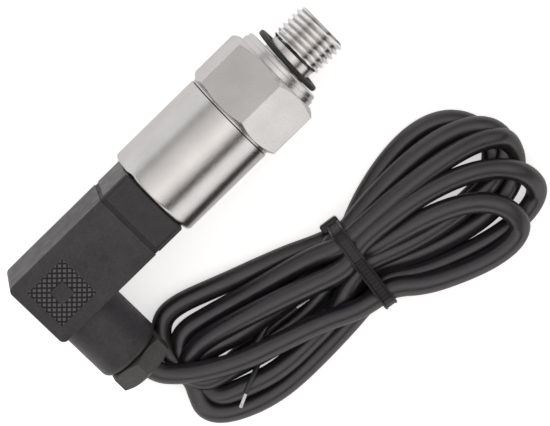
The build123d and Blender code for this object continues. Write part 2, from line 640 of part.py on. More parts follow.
def make_free_cores():
    radius = CORE_DIAMETER / 2
    return [tube_along(core_points(route, radius), radius) for route in (CORE_LONG_ROUTE, CORE_SHORT_ROUTE)]


def make_core_tips(cores):
    tips = []
    for tube, path in cores:
        end = path @ 1
        direction = path % 1
        plane = Plane(origin=end, z_dir=direction)
        tips.append(extrude(plane * Circle(CORE_TIP_DIAMETER / 2), CORE_TIP_LENGTH))
    return Part() + tips


def main():
    os.makedirs("parts", exist_ok=True)
    sensor_pieces = {
        "process_fitting": make_process_fitting,
        "sensor_cell": make_sensor_cell,
        "cell_o_ring": make_cell_o_ring,
        "cell_spacer": make_cell_spacer,
        "retaining_ring": make_retaining_ring,
        "cell_leads": make_cell_leads,
        "housing_tube": make_housing_tube,
        "circuit_board": make_circuit_board,
        "board_components": make_board_components,
        "connector_base": make_connector_base,
        "contact_blades": make_contact_blades,
        "base_seal": make_base_seal,
        "profile_gasket": make_profile_gasket,
        "plug_housing": make_plug_housing,
        "terminal_insert": make_terminal_insert,
        "socket_contacts": make_socket_contacts,
        "terminal_screws": make_terminal_screws,
        "plug_screw": make_plug_screw,
        "screw_seal": make_screw_seal,
        "gland_nut": make_gland_nut,
        "gland_washer": make_gland_washer,
        "gland_seal": make_gland_seal,
        "cable_entry": make_cable_entry,
        "plug_wires": make_plug_wires,
    }
    for name, make in sensor_pieces.items():
        save(rolled(make()), name)
    save(make_sealing_washer(), "sealing_washer")
    save(make_cable_lead(), "cable_lead")
    save(make_cable_hank(), "cable_hank")
    save(make_cable_tie(), "cable_tie")
    cores = make_free_cores()
    save(cores[0][0], "core_long")
    save(cores[1][0], "core_short")
    save(make_core_tips(cores), "core_tips")


main()
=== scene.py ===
import json
import math
from collections import namedtuple

import bmesh
import bpy
from mathutils import Matrix, Vector


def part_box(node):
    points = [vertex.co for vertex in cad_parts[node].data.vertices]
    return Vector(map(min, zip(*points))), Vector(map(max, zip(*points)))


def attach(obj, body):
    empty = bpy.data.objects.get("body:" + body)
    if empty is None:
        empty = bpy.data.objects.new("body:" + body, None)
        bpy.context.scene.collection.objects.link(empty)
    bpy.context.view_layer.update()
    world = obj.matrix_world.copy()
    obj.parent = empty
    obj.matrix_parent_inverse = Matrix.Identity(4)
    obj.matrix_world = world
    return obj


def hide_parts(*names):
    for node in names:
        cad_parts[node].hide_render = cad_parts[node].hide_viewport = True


bl_info = {
    "name": "Pressure Transmitter Looks",
    "version": (1, 0, 0),
    "blender": (4, 5, 0),
    "location": "View3D > Sidebar > Transmitter",
    "description": "Finishes a pressure transmitter with its plug and its bundled cable",
    "category": "Object",
}

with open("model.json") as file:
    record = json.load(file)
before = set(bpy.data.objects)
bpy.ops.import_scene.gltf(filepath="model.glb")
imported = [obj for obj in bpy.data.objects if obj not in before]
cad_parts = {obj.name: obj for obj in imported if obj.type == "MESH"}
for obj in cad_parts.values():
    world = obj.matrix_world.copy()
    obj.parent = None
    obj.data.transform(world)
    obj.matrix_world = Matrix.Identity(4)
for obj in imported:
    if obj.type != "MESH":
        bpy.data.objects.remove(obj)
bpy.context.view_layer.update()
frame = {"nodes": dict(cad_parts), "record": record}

# The pieces are set out in millimetres, and MM turns those into metres
MM = 0.001
BODY = "root"
FLOOR_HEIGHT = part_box("process_fitting")[0][2]

# The plug rests turned about the sensor's axis by this much
REST_ROLL = math.radians(11.431)


def roll_in(point):
    """Turn a point of the upright plug, in millimetres, to the way the plug rests, in metres."""
    x, y, z = point
    c = math.cos(REST_ROLL)
    s = math.sin(REST_ROLL)
    return Vector((x * MM, (y * c - z * s) * MM, (y * s + z * c) * MM))


def on_floor(x, y, height):
    """Point in metres from a place on the floor and a height above it, in millimetres."""
    return Vector((x * MM, y * MM, FLOOR_HEIGHT + height * MM))


# Lead of the cable, straight out of the gland nut and on to the bundle, as places on the floor with a height
GLAND_X = -72.7
NUT_FRONT = 24.35
LEAD_CORNER = 31.0
LEAD_POINTS = [
    (-68.6, -35.1, 7.6), (-62.6, -39.3, 9.2), (-54.4, -43.4, 9.9), (-46.5, -46.0, 9.9),
    (-35.0, -49.8, 9.6), (-28.0, -53.4, 8.8),
]

# Passes of the cable through the tie, each as its distance across the tie's middle and its height
TIE_X = -20.9
TIE_Y = -45.7
TIE_PASSES = {
    "lead": (-9.2, 7.9), "fifth_out": (3.2, 7.9), "first_in": (1.2, 3.5), "first_out": (8.4, 3.6),
    "fourth_in": (-8.2, 3.5), "fourth_out": (1.8, 12.1), "third_in": (-3.5, 3.5), "third_out": (6.4, 12.1),
    "second_in": (-1.4, 7.8), "second_out": (7.7, 8.1),
}

# Loops at the right of the tie, in the order in which the cable runs through them.
# Each has its reach, its angle in degrees, how far its way out and its way back swell, the two sides at which
# it meets the tie, how pointed its end is, where 1 is an even bend, and its heights on the way.
Loop = namedtuple("Loop", "way_in way_out reach angle swell_out swell_back side_in side_out power heights")
RIGHT_LOOPS = [
    Loop("lead", "fifth_out", 38.03, -22.27, 2.9, 5.26, -9.9, 0.9, 0.97, (6.5, 7.2, 10.0, 11.6)),
    Loop("first_in", "first_out", 43.7, -4.1, 7.6, 9.5, 1.0, 6.0, 0.98, (2.5, 2.5, 2.5)),
    Loop("fourth_in", "fourth_out", 46.2, -17.6, 3.6, 6.4, -7.6, 3.6, 1.1, (2.5, 3.2, 8.5, 11.4)),
    Loop("third_in", "third_out", 46.8, -6.92, 7.7, 2.79, -3.4, 5.9, 0.98, (2.5, 2.6, 7.4, 11.0)),
    Loop("second_in", "second_out", 46.52, -6.29, 4.9, 5.62, -1.4, 7.31, 0.97, (6.2, 3.0, 5.4, 7.6)),
]
LOOP_STEPS = 12
LOOP_START = 3.2

# Loops at the left of the tie, as places on the floor with a height
LEFT_LOOPS = [
    [(-25.2, -44.6, 7.7), (-30.5, -42.3, 7.5), (-37.2, -40.4, 7.3), (-46.4, -39.0, 7.2),
     (-52.2, -38.1, 6.6), (-57.0, -36.5, 5.6), (-61.8, -35.9, 4.2), (-64.7, -39.2, 3.0),
     (-60.9, -42.3, 2.5), (-54.4, -42.4, 2.5), (-47.0, -44.6, 2.5), (-38.0, -46.2, 2.5),
     (-30.0, -45.0, 2.7), (-24.8, -44.5, 3.3)],
    [(-24.6, -35.9, 4.0), (-30.2, -33.3, 3.6), (-37.4, -30.6, 3.0), (-45.4, -27.8, 2.6),
     (-53.0, -24.9, 2.5), (-57.2, -23.5, 2.5), (-61.0, -23.0, 2.5), (-63.8, -24.0, 2.5),
     (-66.2, -26.4, 2.5), (-68.0, -30.2, 2.5), (-67.9, -34.8, 2.5), (-67.6, -38.8, 2.5),
     (-69.2, -42.0, 2.5), (-70.6, -45.4, 2.5), (-69.2, -48.6, 2.5), (-64.9, -51.6, 2.5),
     (-57.5, -54.4, 2.5), (-48.9, -55.5, 2.5), (-33.8, -55.1, 2.6), (-25.6, -54.2, 3.3)],
    [(-25.0, -43.4, 12.3), (-29.3, -41.9, 12.3), (-38.1, -38.9, 11.9), (-46.7, -36.4, 10.4),
     (-55.7, -34.1, 7.6), (-62.0, -33.5, 5.4), (-65.9, -34.9, 4.4), (-67.1, -37.9, 4.4),
     (-65.4, -41.1, 4.8), (-61.0, -42.5, 5.2), (-54.0, -44.6, 4.8), (-46.8, -46.6, 4.0),
     (-39.0, -48.8, 3.0), (-31.0, -49.6, 2.6), (-25.0, -49.2, 3.3)],
    [(-24.6, -37.8, 10.6), (-29.6, -36.2, 9.0), (-39.1, -34.1, 6.8), (-47.4, -32.1, 4.6),
     (-54.9, -30.2, 3.2), (-60.5, -28.9, 2.5), (-64.4, -30.2, 2.5), (-66.4, -34.0, 2.5),
     (-66.0, -38.6, 2.5), (-66.4, -42.2, 2.6), (-65.6, -46.2, 4.0), (-60.2, -48.1, 5.2),
     (-54.0, -50.3, 5.4), (-48.5, -51.2, 5.2), (-42.6, -51.4, 4.6), (-32.5, -51.2, 4.6),
     (-25.2, -48.0, 7.2)],
]

# Tail of the cable, from the last pass through the tie to the cut end of its jacket
TAIL_POINTS = [(-24.8, -39.6, 6.4), (-30.0, -39.2, 3.8), (-36.6, -39.0, 2.5), (-43.6, -40.8, 2.5),
               (-50.2, -43.4, 2.5)]


def cable_points():
    """Control points of the whole cable, from the gland nut to the cut end of its jacket, in metres."""
    points = [roll_in((GLAND_X, -NUT_FRONT, 0)), roll_in((GLAND_X, -LEAD_CORNER, 0))]
    points += [on_floor(*place) for place in LEAD_POINTS]
    for loop, left_places in zip(RIGHT_LOOPS, [*LEFT_LOOPS, TAIL_POINTS]):
        points.append(tie_pass(loop.way_in))
        points += right_loop(loop)
        points.append(tie_pass(loop.way_out))
        points += [on_floor(*place) for place in left_places]
    return points


def tie_pass(name):
    """Point in metres where this pass of the cable goes through the tie."""
    across, height = TIE_PASSES[name]
    return on_floor(TIE_X, TIE_Y + across, height)


def right_loop(loop):
    """Control points of one loop, out along its lower side, round its end and back along its upper side."""
    levels = [TIE_PASSES[loop.way_in][1], *loop.heights, TIE_PASSES[loop.way_out][1]]
    c = math.cos(math.radians(loop.angle))
    s = math.sin(math.radians(loop.angle))
    points = []
    for step in range(LOOP_STEPS + 1):
        turn = math.pi * step / LOOP_STEPS
        share = (1 - math.cos(turn)) / 2
        along = loop.reach * math.sin(turn) ** loop.power
        swell = -(loop.swell_out if turn < math.pi / 2 else loop.swell_back) * math.sin(2 * turn)
        side = loop.side_in * (1 - share) + loop.side_out * share
        start = LOOP_START if step in (0, LOOP_STEPS) else 0.0
        x = TIE_X + along * c - swell * s + start
        y = TIE_Y + along * s + swell * c + side
        points.append(on_floor(x, y, level_at(levels, step / LOOP_STEPS)))
    return points


def level_at(levels, share):
    """Smooth height at a share of the way through evenly spaced levels."""
    place = share * (len(levels) - 1)
    lower = min(int(place), len(levels) - 2)
    blend = place - lower
    blend = blend * blend * (3 - 2 * blend)
    return levels[lower] * (1 - blend) + levels[lower + 1] * blend


# Finishes by name, made before the pieces that take them
FINISHES = {}

# Fineness of the patterns in the finishes, in cells for each metre
PLASTIC_GRAIN = 2600.0
PLASTIC_CLOUDS = 140.0
PLASTIC_WIPES = 420.0
STEEL_LINES = 900.0
STEEL_CLOUDS = 90.0
THREAD_LINES = 1200.0
BADGE_GRAIN = 3200.0

# Stretch of the tool marks along the three axes
TURNED_MARKS = (14.0, 0.6, 0.6)
THREAD_MARKS = (4.0, 0.8, 0.8)
EVEN_MARKS = (3.0, 3.0, 3.0)

# Values of a pattern that count as its lowest and its highest
PATTERN_LOW = 0.3
PATTERN_HIGH = 0.7

# Shades of a colour that the user sets, as factors
DEEP_SHADE = 0.3
PALE_SHADE = 1.5
JACKET_SHADE = 0.5

EDGE_SAMPLES = 6


def new_finish(name):
    """Tree and shader of a new finish, with the place on the object that its patterns follow."""
    material = bpy.data.materials.new(name + "_finish")
    FINISHES[name] = material
    material.use_nodes = True
    tree = material.node_tree
    place = tree.nodes.new("ShaderNodeTexCoord")
    return tree, tree.nodes["Principled BSDF"], place.outputs["Object"]


def add_noise(tree, place, scale, detail, roughness, stretch=None):
    """Noise of a given number of cells for each metre, stretched along the axes where asked."""
    if stretch:
        mapping = tree.nodes.new("ShaderNodeMapping")
        mapping.inputs["Scale"].default_value = stretch
        tree.links.new(place, mapping.inputs["Vector"])
        place = mapping.outputs["Vector"]
    noise = tree.nodes.new("ShaderNodeTexNoise")
    noise.inputs["Scale"].default_value = scale
    noise.inputs["Detail"].default_value = detail
    noise.inputs["Roughness"].default_value = roughness
    tree.links.new(place, noise.inputs["Vector"])
    return noise.outputs["Fac"]


def spread(tree, value, low, high, start=PATTERN_LOW, end=PATTERN_HIGH):
    """Map a value between start and end onto the range from low to high."""
    mapper = tree.nodes.new("ShaderNodeMapRange")
    mapper.inputs["From Min"].default_value = start
    mapper.inputs["From Max"].default_value = end
    mapper.inputs["To Min"].default_value = low
    mapper.inputs["To Max"].default_value = high
    tree.links.new(value, mapper.inputs["Value"])
    return mapper.outputs["Result"]


def mix_colours(tree, value, first, second):
    """Colour between two, by the value of a pattern."""
    ramp = tree.nodes.new("ShaderNodeValToRGB")
    ends = ramp.color_ramp.elements
    for end, spot, colour in zip(ends, (PATTERN_LOW, PATTERN_HIGH), (first, second)):
        end.position = spot
        end.color = (*colour, 1.0)
    tree.links.new(value, ramp.inputs["Fac"])
    return ramp.outputs["Color"]


def add_bump(tree, shader, height, strength, distance, edge=0.0):
    """Bump from a height, on edges that are softened by a small radius where asked."""
    bump = tree.nodes.new("ShaderNodeBump")
    if edge:
        rounded = tree.nodes.new("ShaderNodeBevel")
        rounded.samples = EDGE_SAMPLES
        rounded.inputs["Radius"].default_value = edge
        tree.links.new(rounded.outputs["Normal"], bump.inputs["Normal"])
    bump.inputs["Strength"].default_value = strength
    bump.inputs["Distance"].default_value = distance
    tree.links.new(height, bump.inputs["Height"])
    tree.links.new(bump.outputs["Normal"], shader.inputs["Normal"])


def maths(tree, operation, first, second):
    """Result of a sum with two values, each of them an output of a node or a number."""
    node = tree.nodes.new("ShaderNodeMath")
    node.operation = operation
    for place, value in zip(node.inputs, (first, second)):
        if isinstance(value, float):
            place.default_value = value
        else:
            tree.links.new(value, place)
    return node.outputs["Value"]


def moulded(name, dark, light, smoothest, roughest, grain=PLASTIC_GRAIN, depth=0.00002, strength=0.35,
            sheen=0.5):
    """Moulded plastic or rubber, with a fine grain and small cloudy changes of colour and of gloss."""
    tree, shader, place = new_finish(name)
    shader.inputs["Specular IOR Level"].default_value = sheen
    fine = add_noise(tree, place, grain, detail=3.0, roughness=0.6)
    cloud = add_noise(tree, place, PLASTIC_CLOUDS, detail=4.0, roughness=0.6)
    both = tree.nodes.new("ShaderNodeMix")
    both.inputs["Factor"].default_value = 0.5
    tree.links.new(fine, both.inputs["A"])
    tree.links.new(cloud, both.inputs["B"])
    tree.links.new(mix_colours(tree, both.outputs["Result"], dark, light), shader.inputs["Base Color"])
    wipe = add_noise(tree, place, PLASTIC_WIPES, detail=5.0, roughness=0.65)
    tree.links.new(spread(tree, wipe, smoothest, roughest), shader.inputs["Roughness"])
    add_bump(tree, shader, fine, strength, depth)


def machined(name, dark, light, smoothest, roughest, marks=EVEN_MARKS, lines=STEEL_LINES, depth=0.000006,
             strength=0.25, edge=0.0):
    """Machined metal with its tool marks, and with softened edges where asked."""
    tree, shader, place = new_finish(name)
    shader.inputs["Metallic"].default_value = 1.0
    tooling = add_noise(tree, place, lines, detail=4.0, roughness=0.7, stretch=marks)
    cloud = add_noise(tree, place, STEEL_CLOUDS, detail=3.0, roughness=0.5)
    tree.links.new(mix_colours(tree, cloud, dark, light), shader.inputs["Base Color"])
    tree.links.new(spread(tree, tooling, smoothest, roughest), shader.inputs["Roughness"])
    add_bump(tree, shader, tooling, strength, depth, edge)


def thread_with_painted_light(name, root, crest, root_radius, crest_radius):
    """Steel of a cut thread, with painted shade down in its roots and a painted highlight on its crests."""
    tree, shader, place = new_finish(name)
    shader.inputs["Metallic"].default_value = 1.0
    split = tree.nodes.new("ShaderNodeSeparateXYZ")
    tree.links.new(place, split.inputs["Vector"])
    flat = tree.nodes.new("ShaderNodeCombineXYZ")
    tree.links.new(split.outputs["Y"], flat.inputs["Y"])
    tree.links.new(split.outputs["Z"], flat.inputs["Z"])
    radius = tree.nodes.new("ShaderNodeVectorMath")
    radius.operation = "LENGTH"
    tree.links.new(flat.outputs["Vector"], radius.inputs[0])
    # Colour by radius: painted shade in the roots, painted highlight on the crests
    level = spread(tree, radius.outputs["Value"], low=0.0, high=1.0, start=root_radius, end=crest_radius)
    tree.links.new(mix_colours(tree, level, root, crest), shader.inputs["Base Color"])
    tooling = add_noise(tree, place, THREAD_LINES, detail=4.0, roughness=0.7, stretch=THREAD_MARKS)
    tree.links.new(spread(tree, tooling, low=0.14, high=0.26), shader.inputs["Roughness"])
    add_bump(tree, shader, tooling, strength=0.3, distance=0.000008)


def knurl_with_painted_shade(name, valley, tip, valley_height, tip_height):
    """Plastic of the knurled badge ground, painted dark as shade and duller down between its points, and
    painted lighter at its tips.
    """
    tree, shader, place = new_finish(name)
    split = tree.nodes.new("ShaderNodeSeparateXYZ")
    tree.links.new(place, split.inputs["Vector"])
    # Colour by height: painted shade in the valleys, painted light at the tips
    level = spread(tree, split.outputs["Z"], low=0.0, high=1.0, start=valley_height, end=tip_height)
    tree.links.new(mix_colours(tree, level, valley, tip), shader.inputs["Base Color"])
    tree.links.new(spread(tree, level, low=0.7, high=0.24, start=0.2, end=0.9), shader.inputs["Roughness"])
    fine = add_noise(tree, place, BADGE_GRAIN, detail=3.0, roughness=0.6)
    add_bump(tree, shader, fine, strength=0.3, distance=0.00001)


def shade(colour, factor):
    """Darker or paler shade of a colour."""
    return tuple(part * factor for part in colour)


def make_finishes():
    """Every finish of the object."""
    scene = bpy.context.scene
    steel = tuple(scene.transmitter_steel.dark), tuple(scene.transmitter_steel.light)
    charcoal = tuple(scene.transmitter_plastic.colour)
    deep = shade(charcoal, DEEP_SHADE)
    pale = shade(charcoal, PALE_SHADE)
    jacket = tuple(scene.transmitter_cable.colour)
    cable = shade(jacket, JACKET_SHADE), jacket
    machined("fitting_steel", *steel, 0.2, 0.3, lines=850.0, depth=0.00002, strength=0.7, edge=0.00025)
    # The thread's roots are painted dark as shade and its crests painted bright as a highlight
    thread_with_painted_light("thread_painted_light", (0.3, 0.3, 0.3), (0.95, 0.94, 0.93),
                  root_radius=0.0059, crest_radius=0.0065)
    # Steel of the joint's groove, painted nearly black as the shade that falls in it
    machined("groove_painted_shade", (0.03, 0.03, 0.03), (0.07, 0.07, 0.07), 0.4, 0.6)
    # Knurl painted nearly black as shade in its valleys and lighter at its tips
    knurl_with_painted_shade("knurl_painted_shade", (0.004, 0.004, 0.004), (0.09, 0.088, 0.094),
                 valley_height=0.00884, tip_height=0.00908)
    machined("tube_steel", *steel, 0.13, 0.24, lines=850.0, depth=0.00004, strength=0.9)
    machined("inner_steel", (0.32, 0.32, 0.33), (0.5, 0.5, 0.5), 0.25, 0.4, marks=TURNED_MARKS)
    machined("screw_steel", (0.42, 0.41, 0.4), (0.6, 0.59, 0.58), 0.22, 0.36)
    machined("contact_metal", (0.5, 0.47, 0.38), (0.66, 0.62, 0.5), 0.2, 0.34)
    machined("pin_metal", (0.7, 0.5, 0.2), (0.85, 0.64, 0.3), 0.18, 0.3)
    machined("strand_metal", (0.6, 0.6, 0.58), (0.85, 0.85, 0.83), 0.25, 0.4)
    moulded("washer_rubber", (0.008, 0.008, 0.009), (0.02, 0.02, 0.021), 0.42, 0.6)
    moulded("seal_rubber", (0.01, 0.01, 0.01), (0.02, 0.02, 0.02), 0.5, 0.65)
    moulded("gasket_rubber", (0.008, 0.008, 0.008), (0.018, 0.018, 0.018), 0.5, 0.7)
    moulded("cell_ceramic", (0.7, 0.69, 0.66), (0.82, 0.81, 0.79), 0.3, 0.42, grain=3500.0, depth=0.000004)
    moulded("spacer_plastic", (0.5, 0.48, 0.42), (0.6, 0.58, 0.52), 0.4, 0.5)
    moulded("board", (0.01, 0.09, 0.04), (0.02, 0.14, 0.06), 0.3, 0.45)
    moulded("component_plastic", (0.01, 0.01, 0.01), (0.025, 0.025, 0.025), 0.4, 0.55)
    moulded("base_plastic", deep, charcoal, 0.22, 0.42, grain=1500.0, depth=0.00003, strength=0.4)
    moulded("plug_plastic", deep, pale, 0.34, 0.5, grain=1900.0, depth=0.00007, strength=0.5)
    moulded("insert_plastic", (0.012, 0.012, 0.012), (0.03, 0.03, 0.03), 0.4, 0.55)
    moulded("nut_plastic", (0.035, 0.034, 0.034), (0.085, 0.084, 0.08), 0.32, 0.5,
            grain=1900.0, depth=0.00007, strength=0.5)
    moulded("washer_plastic", (0.02, 0.02, 0.02), (0.04, 0.04, 0.04), 0.4, 0.5)
    moulded("cable_jacket", *cable, 0.27, 0.4, grain=1500.0, depth=0.000018, strength=0.3, sheen=0.88)
    moulded("core_plastic", (0.012, 0.012, 0.013), (0.03, 0.03, 0.032), 0.3, 0.42)
    moulded("tie_plastic", *cable, 0.24, 0.34, grain=1400.0, depth=0.00001, strength=0.25, sheen=0.4)


def finish_cad_nodes():
    """Give every piece of the frame the finish of its slot."""
    for part in frame["record"]["subparts"]:
        for place in frame["nodes"][part["node"]].material_slots:
            place.material = FINISHES[part["material_slot"]]


# Making of objects from meshes and curves
def add_object(name, data):
    """New object in the scene with this mesh, curve, light or camera."""
    piece = bpy.data.objects.new(name, data)
    bpy.context.collection.objects.link(piece)
    return piece


def mesh_object(name, mesh_data, smooth_angle=None):
    """Object from a bmesh, shaded smooth up to an angle in degrees where asked."""
    mesh = bpy.data.meshes.new(name)
    mesh_data.to_mesh(mesh)
    mesh_data.free()
    if smooth_angle:
        for face in mesh.polygons:
            face.use_smooth = True
        mesh.set_sharp_from_angle(angle=math.radians(smooth_angle))
    return add_object(name, mesh)


def mesh_piece(name, mesh_data, finish, smooth_angle):
    """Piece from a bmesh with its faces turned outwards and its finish."""
    bmesh.ops.recalc_face_normals(mesh_data, faces=mesh_data.faces)
    piece = mesh_object(name, mesh_data, smooth_angle)
    piece.data.materials.append(FINISHES[finish])
    return piece


def round_curve(name, lines, radius, sides, steps, slot):
    """Round cable or wires, each along a smooth NURBS spline with these control points."""
    curve = bpy.data.curves.new(name, "CURVE")
    curve.dimensions = "3D"
    curve.resolution_u = steps
    curve.bevel_depth = radius
    curve.bevel_resolution = sides
    curve.use_fill_caps = True
    for points in lines:
        spline = curve.splines.new("NURBS")
        spline.points.add(len(points) - 1)
        for spot, point in zip(spline.points, points):
            spot.co = (*point, 1.0)
        spline.order_u = 3
        spline.use_endpoint_u = True
    curve.materials.append(FINISHES[slot])
    piece = add_object(name, curve)
    return piece


def curve_line(piece):
    """Points that a cable's own line follows, read from its spline without a bevel."""
    bare = piece.data.copy()
    bare.bevel_depth = 0.0
    carrier = bpy.data.objects.new("line_reader", bare)
    mesh = bpy.data.meshes.new_from_object(carrier)
    line = [vertex.co.copy() for vertex in mesh.vertices]
    bpy.data.meshes.remove(mesh)
    bpy.data.objects.remove(carrier)
    bpy.data.curves.remove(bare)
    return line


# Cable with its two cores and their bare strands
CABLE_SIDES = 8
CABLE_STEPS = 8
LONG_CORE = [(-50.6, -44.6, 3.6), (-52.4, -46.0, 5.0), (-54.8, -47.0, 6.9), (-57.6, -48.0, 8.3),
             (-60.4, -49.3, 8.2)]
SHORT_CORE = [(-49.8, -44.0, 3.6), (-47.2, -42.6, 5.4), (-44.6, -42.6, 6.4), (-41.2, -42.9, 6.6),
              (-37.8, -43.3, 6.3)]
CORE_DIAMETER = 1.3
CORE_SIDES = 6
STRAND_COUNT = 7
STRAND_LENGTH = 4.0
STRAND_LENGTHS = 3
STRAND_RADIUS = 0.14
STRAND_SIDES = 3
STRAND_STEPS = 12
STRAND_POINTS = 10

# How the outer strands lie round the middle one: their distance from it, their start inside the core, their
# turns round it, how much they differ in length, and how they part over the last share of their way
STRAND_SPACING = 0.27
STRAND_SUNK = 0.4
STRAND_TWIST = 0.6
STRAND_UNEVEN = 0.03
STRAND_PARTING = 0.5
PARTING_START = 0.7


def make_cable():
    """The whole cable as one smooth line."""
    radius = bpy.context.scene.transmitter_cable.diameter / 2
    cable = round_curve("cable", [cable_points()], radius, CABLE_SIDES, CABLE_STEPS, "cable_jacket")
    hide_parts("cable_lead", "cable_hank")
    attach(cable, BODY)
    return cable


def make_core(name, node, places):
    """One insulated core that comes out of the cut end of the jacket."""
    points = [on_floor(*place) for place in places]
    core = round_curve(name, [points], CORE_DIAMETER * MM / 2, CORE_SIDES, CABLE_STEPS, "core_plastic")
    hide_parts(node)
    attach(core, BODY)
    return core


def make_strands(name, places):
    """Bare strands twisted round each other at the end of a core."""
    end = on_floor(*places[-1])
    along = (end - on_floor(*places[-2])).normalized()
    side = along.cross(Vector((0, 0, 1))).normalized()
    up = side.cross(along)
    lines = []
    for strand in range(STRAND_COUNT):
        length = STRAND_LENGTH * (1.0 - STRAND_UNEVEN * (strand % STRAND_LENGTHS))
        spacing = STRAND_SPACING if strand else 0.0
        line = []
        for step in range(STRAND_POINTS + 1):
            share = step / STRAND_POINTS
            turn = 2 * math.pi * (strand / (STRAND_COUNT - 1) + STRAND_TWIST * share)
            reach = length * share - STRAND_SUNK
            out = spacing * (1.0 + STRAND_PARTING * max(0.0, share - PARTING_START))
            offset = along * reach + side * out * math.cos(turn) + up * out * math.sin(turn)
            line.append(end + offset * MM)
        lines.append(line)
    return round_curve(name, lines, STRAND_RADIUS * MM, STRAND_SIDES, STRAND_STEPS, "strand_metal")


# Strap of the cable tie, and how far its inner side is from the middle of each pass that it goes round
TIE_WIDTH = 3.3
TIE_THICKNESS = 1.0
TIE_INNER = 2.65
TIE_STEPS = 60

# Section of the strap, as distances in from its edge with shares of its thickness, up to the toothed flat
TIE_FLAT = 0.82
TIE_RIM = [(0.0, 0.0), (0.0, 0.75), (0.25, 1.0), (0.55, 1.0), (0.7, TIE_FLAT)]

# Length of a place along the strap, of which one in three is a tooth, and the depth of the gaps between teeth
TIE_TOOTH = 0.35
TIE_TOOTH_EVERY = 3
TIE_GAP = 0.12

# The tie lies askew, turned about the near side of the bundle
BUNDLE_WIDTH = 22.5
TIE_SKEW = math.radians(-8.0)
TIE_SHIFT = -0.15

# Head of the tie at the far side of the bundle
TIE_HEAD_WIDTH = 4.8
TIE_HEAD_OUT = 2.6
TIE_HEAD_LENGTH = 4.4
TIE_HEAD_HEIGHT = 3.6
TIE_HEAD_INSET = 1.6
TIE_HEAD_ASIDE = -0.6
TIE_HEAD_EDGE = 0.7
TIE_SLOT_WALL = 0.9
TIE_SLOT_DEPTH = 0.6
FACING_DOWN = -0.9
TIE_SMOOTH = 40.0


def on_tie(along, across, height):
    """Point by its place along the bundle and across it from the tie's middle, turned with the askew tie."""
    pivot = -BUNDLE_WIDTH / 2
    c = math.cos(TIE_SKEW)
    s = math.sin(TIE_SKEW)
    beyond = across - pivot
    x = TIE_X + TIE_SHIFT + along * c - beyond * s
    y = TIE_Y + pivot + along * s + beyond * c
    return on_floor(x, y, height)


def tie_outline():
    """Inner side of the strap, pulled tight round the passes of the cable, in even steps."""
    dots = []
    for across, height in TIE_PASSES.values():
        for step in range(TIE_STEPS):
            turn = 2 * math.pi * step / TIE_STEPS
            above_floor = max(TIE_THICKNESS, height + TIE_INNER * math.sin(turn))
            dots.append((across + TIE_INNER * math.cos(turn), above_floor))
    outline = hull_of(dots)
    sides = [(start, end, math.dist(start, end)) for start, end in zip(outline, outline[1:] + outline[:1])]
    around = sum(size for _, _, size in sides)
    count = TIE_TOOTH_EVERY * round(around / TIE_TOOTH / TIE_TOOTH_EVERY)
    even = []
    passed = 0.0
    for start, end, size in sides:
        while len(even) < count and len(even) * around / count < passed + size:
            share = (len(even) * around / count - passed) / size
            even.append((start[0] + (end[0] - start[0]) * share, start[1] + (end[1] - start[1]) * share))
        passed += size
    return even


def hull_of(dots):
    """Outermost of these dots, anticlockwise."""
    ordered = sorted(set(dots))
    halves = []
    for row in (ordered, ordered[::-1]):
        half = []
        for dot in row:
            while len(half) > 1 and turn_of(half[-2], half[-1], dot) <= 0:
                half.pop()
            half.append(dot)
        halves += half[:-1]
    return halves


def turn_of(first, second, third):
    """More than nothing where the way through three dots turns to the left."""
    return ((second[0] - first[0]) * (third[1] - first[1])
            - (second[1] - first[1]) * (third[0] - first[0]))


def make_tie():
    """Strap with teeth between its two rims, and its head."""
    half = TIE_WIDTH / 2
    profile = [(inset - half, share) for inset, share in TIE_RIM]
    profile += [(half - inset, share) for inset, share in reversed(TIE_RIM)]
    data = bmesh.new()
    inner = tie_outline()
    rows = []
    for index, (across, height) in enumerate(inner):
        before = inner[index - 1]
        after = inner[(index + 1) % len(inner)]
        size = math.dist(before, after)
        out_across = (after[1] - before[1]) / size
        out_up = (before[0] - after[0]) / size
        gap = TIE_GAP if index % TIE_TOOTH_EVERY else 0.0
        row = []
        for along, share in profile:
            out = share * TIE_THICKNESS - (gap if share == TIE_FLAT else 0.0)
            row.append(data.verts.new(on_tie(along, across + out_across * out, height + out_up * out)))
        rows.append(row)
    for near, far in zip(rows, rows[1:] + rows[:1]):
        for place in range(len(profile)):
            following = (place + 1) % len(profile)
            data.faces.new((near[place], far[place], far[following], near[following]))
    strap = mesh_piece("tie_strap", data, "tie_plastic", TIE_SMOOTH)
    make_tie_head().parent = strap
    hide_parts("cable_tie")
    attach(strap, BODY)


def make_tie_head():
    """Box head with rounded edges and the slot of the strap in its underside."""
    data = bmesh.new()
    bmesh.ops.create_cube(data, size=1.0)
    across = BUNDLE_WIDTH / 2 + TIE_HEAD_OUT / 2 - TIE_HEAD_INSET
    height = TIE_HEAD_HEIGHT + TIE_HEAD_LENGTH / 2
    for vert in data.verts:
        x, y, z = vert.co
        vert.co = on_tie(TIE_HEAD_ASIDE + x * TIE_HEAD_WIDTH, across + y * TIE_HEAD_OUT,
                         height + z * TIE_HEAD_LENGTH)
    bmesh.ops.bevel(data, geom=data.edges[:] + data.verts[:], offset=TIE_HEAD_EDGE * MM, segments=3,
                    profile=0.6, affect="EDGES")
    under = [face for face in data.faces if face.normal.z < FACING_DOWN]
    bmesh.ops.inset_region(data, faces=under, thickness=TIE_SLOT_WALL * MM)
    for face in under:
        for vert in face.verts:
            vert.co.z += TIE_SLOT_DEPTH * MM
    return mesh_piece("tie_head", data, "tie_plastic", TIE_SMOOTH)


